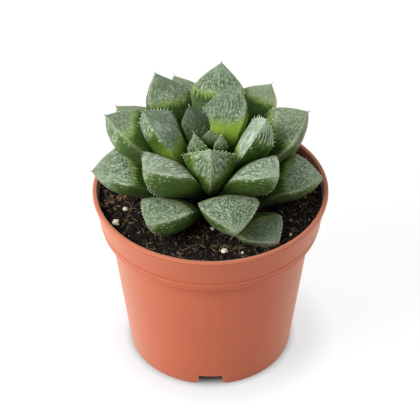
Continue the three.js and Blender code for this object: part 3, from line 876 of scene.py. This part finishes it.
def leaf_mesh(index, leaf):
    """One closed leaf with its vein map and the attributes that its skin reads."""
    half = leaf[4]
    points, (distances, widths, depths), tip, axes = leaf_grid(leaf, CREASED.get(index, 0))
    world = soften_edges(points) @ axes + tip
    seed = Vector((index * 3.7, index * 1.9, 0))
    swelling = np.zeros(world.shape[:2])
    for i, j in np.ndindex(swelling.shape):
        place = Vector(world[i, j]) + seed
        lump = LUMP_HEIGHT * noise.noise(place * LUMPS_PER_MM)
        swelling[i, j] = SKIN_SWELL + lump + DIMPLE_HEIGHT * noise.noise(place * DIMPLES_PER_MM)
    way = world - world.mean(1, keepdims=True)
    way /= np.maximum(np.linalg.norm(way, axis=2, keepdims=True), 1e-6)
    near_tip = np.minimum(1, distances / 5)[:, None, None]
    world = world + way * swelling[:, :, None] * near_tip
    verts, faces, places = wrap(world, tip, world[-1].mean(0))
    mesh = mesh_in_mm(f"haworthia_leaf_{index + 1:02d}", verts, faces)
    veins, shares, on_face = column_shares()
    rows, columns = np.array(places).T
    along = np.concatenate(([0], distances, distances[-1:]))
    vein_map = mesh.uv_layers.new(name="veins")
    vein_map.data.foreach_set("uv", np.column_stack((veins[columns], along[rows])).ravel())

    shares, on_face = shares[:-1], on_face[:-1]
    distances, widths, depths = (row[:, None] for row in (distances, widths, depths))
    face_reach, flank_reach = LOOKS[index][4:6]
    face_end = face_reach * half * (1 - WINDOW_BOW["face"] * shares**2)
    flank_end = flank_reach * half * (1 - WINDOW_BOW["flank"] * shares**2)
    facts = {
        "window": (half, np.where(on_face, face_end, flank_end) - distances, -half),
        "to_margin": (0, (1 - shares) * np.where(on_face, widths, depths), half),
        "to_keel": (0, np.where(on_face, half, shares * depths), half),
        "from_tip": (0, distances + 0 * shares, distances[-1, 0]),
        "lower": (0, 1.0 - on_face + 0 * distances, 0),
    }
    for name, (first, middle, end) in facts.items():
        give(mesh, name, np.concatenate(([first], middle.ravel(), [end])))
    return mesh, world, distances[:, 0]


def leaf_skin(pale, warm, glow, netted, slitted, age, seed):
    """A grey-green window with pale streaks, a dark net, slits and dots, over green flesh.

    The first five say how much of each look a leaf has, its age scorches its tip, and its seed
    moves its pattern along. A pale below zero is painted shade, and the glow is painted light."""
    material, place = start_material("haworthia_skin")
    tree = material.node_tree

    def fact(name):
        return add(tree, "ShaderNodeAttribute", result="Fac", attribute_name=name)

    def times(first, *others):
        for other in others:
            first = calc("MULTIPLY", first, other)
        return first

    across = add(tree, "ShaderNodeSeparateXYZ", {0: add(tree, "ShaderNodeUVMap", uv_map="veins")})
    along = across.node.outputs[1]
    sway = calc("SUBTRACT", grain(place, 150, 2), 0.5)
    across = calc("ADD", calc("MULTIPLY_ADD", sway, 1.6, across), seed)

    def on_veins(wide, long):
        """A place in the vein map, wide to a vein and long to a millimetre."""
        return add(tree, "ShaderNodeCombineXYZ", {0: times(across, wide), 1: times(along, long)})

    def streaks(wide, long, detail=2.0):
        """Soft noise drawn out along the veins."""
        inputs = {"Vector": on_veins(wide, long), "Scale": 1.0, "Detail": detail}
        return add(tree, "ShaderNodeTexNoise", inputs, "Fac", noise_dimensions="2D")

    def cells(wide, long, feature):
        inputs = {"Vector": on_veins(wide, long), "Scale": 1.0, "Randomness": 0.9}
        return add(tree, "ShaderNodeTexVoronoi", inputs, "Distance", voronoi_dimensions="2D", feature=feature)

    lower, from_tip = fact("lower"), fact("from_tip")
    to_margin, to_keel = fact("to_margin"), fact("to_keel")
    patches = grain(place, 170, 3)
    patchy = ease(patches, 0.3, 0.7)
    broad = streaks(0.75, 0.17 + 0.12 * netted, 3.0)
    thin = streaks(1.8 - 0.3 * netted, 0.42 + 0.35 * netted)
    uneven_ends = streaks(0.8, 0.05)
    ripple = calc("PINGPONG", across, 0.5)
    lobes = times(calc("SUBTRACT", ripple, 0.25), calc("MULTIPLY_ADD", uneven_ends, 12.0, -2.8))
    lobes = times(lobes, calc("MULTIPLY_ADD", lower, -0.6, 1.0))
    ragged = calc("MULTIPLY_ADD", grain(place, 420, 2), 5.0, -2.5)
    inside = calc("ADD", calc("ADD", fact("window"), lobes), ragged)
    window = ease(inside, -0.5, 0.8)
    fringe = times(ease(inside, -2.4, -0.2), ease(inside, 0.6, 3.0, 1, 0))
    fringe = times(fringe, calc("MULTIPLY_ADD", lower, -0.7, 1.0))

    # The yellow-green glow low on some leaves is painted light, standing in for light that shines through the
    # flesh.
    lit = times(ease(from_tip, 9, 17, 0, glow), ease(from_tip, 20, 32, 1, 0))
    flesh = lay_over(
        blend(patchy, (40, 70, 14), (64, 92, 32)),
        (ease(thin, 0.42, 0.62, 0, 0.25), (92, 116, 58)),
        # painted shade: the flesh darkens towards the seat, deep in the rosette
        (ease(from_tip, 13, 26, 0, 0.7), (36, 60, 8)),
        (times(lower, 0.45), (34, 62, 8)),
        (lit, (140, 170, 62)),
        (times(fringe, 0.75), (128, 154, 76)),
    )

    net = times(ease(cells(1.3, 0.7, "DISTANCE_TO_EDGE"), 0.05, 0.3), ease(broad, 0.74, 0.46))
    net = times(net, ease(from_tip, 1.5, 7.5, 0.3, 1), ease(to_margin, 0.4, 2.8, 0.3, 1))
    slit_noise = calc("MULTIPLY_ADD", lower, 0.17 * slitted, streaks(1.1, 0.14))
    slit_width = calc("MULTIPLY_ADD", lower, -0.18 * slitted, ripple)
    slits = times(ease(slit_width, 0.02, 0.13, 1, 0), ease(slit_noise, 0.53, 0.59))
    slits = times(slits, ease(from_tip, 2.0, 4.0))
    glass = lay_over(
        blend(patchy, (90, 113, 84), (114, 132, 109)),
        (0.3 * max(0, pale), (156, 174, 152)),
        (times(net, 0.3 + 0.6 * netted), (44, 68, 40)),
        (ease(broad, 0.48, 0.68, 0, 0.25 + 0.45 * max(0, pale)), (171, 183, 168)),
        (ease(thin, 0.52, 0.66, 0, 0.2 + 0.3 * netted), (189, 198, 178)),
        (ease(thin, 0.46, 0.32, 0, 0.12 + 0.2 * netted), (60, 88, 52)),
        (times(fringe, 0.45), (140, 166, 92)),
        (times(lower, 0.4 * slitted), (126, 150, 112)),
        (times(slits, 0.9), (22, 42, 16)),
        (0.5 * warm, (132, 140, 106)),
        (times(lower, 0.35 - 0.3 * slitted), (66, 90, 52)),
    )

    dots = ease(cells(0.9, 0.58, "F1"), 0.08, 0.3, 1, 0)
    near_end = times(ease(inside, -1.2, 0.2), ease(inside, 2.0, 6.0, 1, 0.12 + 0.33 * netted))
    near_edge = times(ease(calc("MINIMUM", to_margin, to_keel), 0.9, 2.4, 1, 0), lower)
    near_edge = times(near_edge, ease(from_tip, 9, 14, 1, 0))
    near_nose = times(lower, 1 - slitted, ease(from_tip, 5, 10, 1, 0))
    dotted = calc("MAXIMUM", near_end, calc("MAXIMUM", near_edge, near_nose))
    dotted = times(dots, dotted, ease(patches, 0.36, 0.56, 0.35, 1))
    distal = ease(from_tip, 14, 26, 1, 0)
    # The pale bands along the margins and keel are partly the leaf's own pale edge and partly a painted rim
    # highlight, pinkish grey on the warm leaves, where light grazes the silhouette.
    rim = times(ease(to_margin, 0.2, 1.2, 0.08 + 0.3 * warm, 0), distal)
    keel_line_and_rim_light = times(ease(to_keel, 0.2, 1.0, 0.15, 0), distal)
    tints = {0: min(1, 0.35 + warm), 6: srgb(176, 192, 158), 7: srgb(182, 172, 150)}
    edge_and_rim_light_tint = add(tree, "ShaderNodeMix", tints, 2, data_type="RGBA")
    colour = lay_over(
        blend(window, flesh, glass),
        # a negative pale paints the leaf dark green: a painted shade for leaves that sit in the rosette's
        # shadow
        (0.75 * max(0, -pale), (34, 56, 24)),
        (times(lower, 0.25 * warm), (138, 136, 112)),
        (times(dotted, 0.55), (184, 202, 152)),
    )
    colour = blend(calc("MAXIMUM", rim, keel_line_and_rim_light), colour, edge_and_rim_light_tint)
    scorch = times(ease(from_tip, 0.5, 1.7, 1, 0), 0.05 + 0.5 * age**3)

    height = calc("ADD", times(thin, 1.1), times(grain(place, 2400, 2), 0.3))
    height = calc("ADD", height, times(calc("SUBTRACT", times(dotted, 0.7), slits), 0.8))
    return coat(material, {
        "Base Color": lay_over(colour, (scorch, (116, 96, 78))),
        "Normal": relief(0.6, 0.25, height), "Roughness": ease(window, 0, 1, 0.4, 0.44),
        "Specular IOR Level": 0.12, "Sheen Weight": 0.02 + 0.1 * warm, "Sheen Roughness": 0.4,
        "Sheen Tint": srgb(250, 232, 222), "Subsurface Weight": 0.12,
        "Subsurface Radius": (0.6, 1.0, 0.25), "Subsurface Scale": 1.2 * MM,
    })


grown = []
for index, leaf in enumerate(LEAVES):
    mesh, world, distances = leaf_mesh(index, leaf)
    age = index / (len(LEAVES) - 1)
    look = LOOKS[index]
    skin = leaf_skin(*look[:3], *look[6:], age, 17.0 * index)
    finish_piece(mesh.name, mesh, skin, [f"leaf_{index + 1:02d}"])
    grown.append((leaf, age, look[3], world, distances))

# Small soft teeth stand along both margins and the keel of every leaf. They are colourless and
# catch the light, are longest at the shoulders, and fade out down the lower part of the leaf.
TOOTH_LENGTH = 1.6
TOOTH_WIDTH = 0.4
TOOTH_SPACING = 1.85
TOOTH_SIDES = 6
TOOTH_LEAN = 0.35
FIRST_TOOTH = 0.9
TOOTH_FADE = 0.6
LEAST_TOOTH = 0.15
# Each line of teeth, by its column in the leaf's grid, and how many half widths it runs from the tip.
TOOTHED_COLUMNS = {0: 1.6, FLANK_COLUMNS: 1.9, FLANK_COLUMNS + FACE_COLUMNS: 1.9}


def tooth_lines():
    """The margin and keel lines of all leaves, each point with the way its tooth aims and its size."""
    verts, edges, aims, sizes = [], [], [], []
    for leaf, _, toothed, world, distances in grown:
        half = leaf[4]
        centre = world.mean(1)
        for column, halves in TOOTHED_COLUMNS.items():
            line = world[:, column]
            start = len(verts)
            reach = halves * half
            for i, distance in enumerate(distances):
                if distance < FIRST_TOOTH or distance > reach:
                    continue
                away = line[i] - centre[i]
                along = line[max(0, i - 1)] - line[min(len(line) - 1, i + 1)]
                aim = away / np.linalg.norm(away) + TOOTH_LEAN * along / np.linalg.norm(along)
                rise = min(1, 0.55 + 0.9 * distance / half)
                fade = max(LEAST_TOOTH, min(1, (reach - distance) / (TOOTH_FADE * half)))
                if len(verts) > start:
                    edges.append((len(verts) - 1, len(verts)))
                verts.append(line[i])
                aims.append(aim / np.linalg.norm(aim))
                sizes.append(toothed * min(1, half / GROWN_HALF) * rise * fade)
    mesh = mesh_in_mm("tooth_lines", verts, [], edges)
    give(mesh, "aim", aims, "FLOAT_VECTOR", "vector")
    give(mesh, "size", sizes)
    return mesh


def tooth_tree(material):
    """A thin blunt cone at every step along the lines, leaning a little its own way."""
    tree, given = start_tree("grow_teeth", Length="Float", Width="Float", Spacing="Float")
    lines = add(tree, "GeometryNodeMeshToCurve", {"Mesh": given["Geometry"]})
    spaced = {"Curve": lines, "Length": given["Spacing"]}
    stations = add(tree, "GeometryNodeResampleCurve", spaced, mode="LENGTH")
    aim = add(tree, "GeometryNodeInputNamedAttribute", {"Name": "aim"}, data_type="FLOAT_VECTOR")
    size = add(tree, "GeometryNodeInputNamedAttribute", {"Name": "size"}, data_type="FLOAT")
    lean = uneven(tree, (-0.3, -0.3, -0.3), (0.3, 0.3, 0.3), given["Seed"])
    leaning = vector_calc("ADD", aim, lean)
    turn = add(tree, "FunctionNodeAlignRotationToVector", {"Vector": leaning}, axis="Z")
    cone = add(tree, "GeometryNodeMeshCone", {
        "Vertices": TOOTH_SIDES, "Side Segments": 2, "Radius Top": 0.06, "Radius Bottom": 0.5, "Depth": 1.0,
    })
    sunk = add(tree, "GeometryNodeTransform", {"Geometry": cone, "Translation": (0, 0, -0.3)})
    length = calc("MULTIPLY", size, given["Length"])
    width = calc("MULTIPLY", calc("POWER", size, 0.5), given["Width"])
    spread = {"Min": 0.6, "Max": 1.35, "Seed": calc("ADD", given["Seed"], 9)}
    varied = add(tree, "FunctionNodeRandomValue", spread, "Value", data_type="FLOAT")
    scale = add(tree, "ShaderNodeCombineXYZ", {0: width, 1: width, 2: calc("MULTIPLY", length, varied)})
    return end_tree(tree, copies(tree, stations, sunk, turn, scale), material)


def tooth_horn():
    material, place = start_material("tooth_horn")
    patches = grain(place, 700, 2)
    return coat(material, {
        "Base Color": blend(ease(patches, 0.3, 0.7), (188, 204, 164), (228, 234, 212)),
        "Normal": relief(0.3, 0.05, patches), "Roughness": 0.35, "Subsurface Weight": 0.35,
        "Subsurface Radius": (1, 1, 0.7), "Subsurface Scale": 0.4 * MM,
    })


horn = tooth_horn()
teeth = grow(
    tooth_lines(), tooth_tree(horn),
    Length=TOOTH_LENGTH * MM, Width=TOOTH_WIDTH * MM, Spacing=TOOTH_SPACING * MM, Seed=21,
)
finish_piece("leaf_teeth", teeth, horn)

# Each leaf ends in an awn, a short bristle that its tip is drawn out into. On young leaves it is
# white and straight; on the old outer ones it has dried brown and curls.
AWN_LENGTH = 4.2
OLD_AWN_LENGTH = 0.9
AWN_RADIUS = 0.32
AWN_END_RADIUS = 0.015
AWN_ROOT = 1.1
AWN_SINK = 0.35
AWN_CURL = 0.4
AWN_STEPS = 10
AWN_SIDES = 8


def awn_mesh():
    random.seed(4)
    verts, faces, dryness = [], [], []
    for leaf, age, *_ in grown:
        tip, axes, _ = leaf_axes(leaf)
        size = min(1, leaf[4] / GROWN_HALF) ** 0.5
        length = AWN_LENGTH * size if leaf[4] < HEART_HALF else OLD_AWN_LENGTH
        out, side, up = -axes[0], axes[1], -axes[2]
        curl = up * random.uniform(-0.1, 0.35) + side * random.uniform(-0.3, 0.3)
        steps = [i / AWN_STEPS for i in range(AWN_STEPS, -1, -1)]
        middles, rings = [], []
        for t in steps:
            middle = tip + out * ((length + AWN_ROOT) * t - AWN_ROOT) - up * AWN_SINK * (1 - t)
            middles.append(middle + curl * AWN_CURL * length * t * t)
            radius = AWN_RADIUS * size * (1 - t) ** 0.8 + AWN_END_RADIUS
            ways = [side * math.cos(turn) + up * math.sin(turn) for turn in turns(AWN_SIDES)]
            rings.append([middles[-1] + way * radius for way in ways])
        add_form(verts, faces, *wrap(rings, middles[0], middles[-1])[:2])
        ring_steps = [steps[0]] + [t for t in steps for _ in range(AWN_SIDES)] + [steps[-1]]
        dryness += [min(1, 1.8 * age) * min(1, 0.35 + t) for t in ring_steps]
    mesh = mesh_in_mm("leaf_awns", verts, faces)
    give(mesh, "dry", dryness)
    return mesh


def awn_skin():
    material, place = start_material("awn_skin")
    dry = add(material.node_tree, "ShaderNodeAttribute", result="Fac", attribute_name="dry")
    share = calc("ADD", dry, calc("MULTIPLY_ADD", grain(place, 900, 2), 0.3, -0.15))
    colour = blend(ease(share, 0.25, 0.75), (186, 192, 152), (98, 76, 58))
    return coat(material, {"Base Color": colour, "Roughness": 0.45})


finish_piece("leaf_awns", awn_mesh(), awn_skin())

# The stage: one pale sheet under the pot that runs on past the view, a large soft light high on the
# left, a weak one in front on the right, and a white surround that fills the shadows. The sheet glows
# to stand white, and its glow is cut under the pot and in a patch to the pot's right, which paints
# the shadows there.
FLOOR_SIZE = 6.0
KEY_PLACE = (-0.6, -0.36, 0.62)
KEY_SIZE = 0.55
KEY_POWER = 9.8
FILL_PLACE = (0.72, -0.34, 0.45)
FILL_SIZE = 1.0
FILL_POWER = 2.5
LIGHT_AIM = (0, 0, 0.06)
FRONT_SKY = 0.2
BACK_SKY = 0.9
LEFT_SKY = 0.9
FLOOR_GLOW = 0.86
# Where the paper's glow is cut as painted shadows: a soft patch to the pot's right, and the dark under its
# foot.
SHADE_PLACE = (3, -1, 0)
SHADE_RADII = (32, 50)
SHADE_GLOW = 0.8
UNDER_SHADOW_RADII = (27.5, 35)
UNDER_SHADOW_GLOW = 0.02


def soft_light(name, place, size, power):
    light = bpy.data.lights.new(name, "AREA")
    light.shape = "DISK"
    light.size = size
    light.energy = power
    lamp = link(light, name)
    lamp.location = place
    lamp.rotation_euler = (Vector(LIGHT_AIM) - Vector(place)).to_track_quat("-Z", "Y").to_euler()


def white_paper():
    material, place = start_material("white_paper")

    def glow(centre, radii, least):
        """How much the paper glows: least inside the first radius, all of it outside the second; the dip is a
        painted shadow.
        """
        away = vector_calc("DISTANCE", place, tuple(c * MM for c in centre), "Value")
        return ease(away, radii[0] * MM, radii[1] * MM, least, 1)

    shaded = calc("MULTIPLY", glow(SHADE_PLACE, SHADE_RADII, SHADE_GLOW), FLOOR_GLOW)
    tone = ease(grain(place, 8, 2), 0.3, 0.7)
    return coat(material, {
        "Base Color": blend(tone, (106, 106, 106), (110, 110, 110)),
        "Roughness": 0.95, "Specular IOR Level": 0.1, "Emission Color": (1, 1, 1, 1),
        "Emission Strength": calc("MULTIPLY", shaded, glow((0, 0, 0), UNDER_SHADOW_RADII, UNDER_SHADOW_GLOW)),
    })


half_floor = FLOOR_SIZE / 2
floor_corners = [(x * half_floor, y * half_floor, 0) for x, y in ((-1, -1), (1, -1), (1, 1), (-1, 1))]
floor_mesh = bpy.data.meshes.new("paper_floor")
floor_mesh.from_pydata(floor_corners, [], [(0, 1, 2, 3)])
floor_mesh.materials.append(white_paper())
floor = link(floor_mesh, "paper_floor")
soft_light("key_light", KEY_PLACE, KEY_SIZE, KEY_POWER)
soft_light("fill_light", FILL_PLACE, FILL_SIZE, FILL_POWER)
room = bpy.data.worlds.new("white_room")
room.use_nodes = True
sky_tree = room.node_tree
sky_way = add(sky_tree, "ShaderNodeTexCoord", result="Generated")
to_right = add(sky_tree, "ShaderNodeSeparateXYZ", {0: sky_way})
to_back = to_right.node.outputs[1]
sky = ease(to_back, -0.5, 0.6, FRONT_SKY, BACK_SKY)
sky = calc("ADD", sky, ease(to_right, -0.95, -0.3, LEFT_SKY, 0))
fill(sky_tree, sky_tree.nodes["Background"], {"Color": (1, 1, 1, 1), "Strength": sky})
bpy.context.scene.world = room
bpy.context.scene.view_settings.view_transform = "Standard"

# The camera stands 0.9 m away and looks down by 39 degrees, which is where the rim's ellipse, the
# collar and the foot put it.
CAMERA_PLACE = (0, -0.6852, 0.6176)
CAMERA_DOWN = 39.029
CAMERA_LEFT = 0.0157
FOCAL_LENGTH = 196.7
SENSOR = 36
FARTHEST_SEEN = 20

camera = link(bpy.data.cameras.new("camera"), "camera")
camera.location = CAMERA_PLACE
camera.rotation_euler = (math.radians(90 - CAMERA_DOWN), 0, math.radians(CAMERA_LEFT))
camera.data.lens = FOCAL_LENGTH
camera.data.sensor_width = SENSOR
camera.data.clip_end = FARTHEST_SEEN
bpy.context.scene.camera = camera
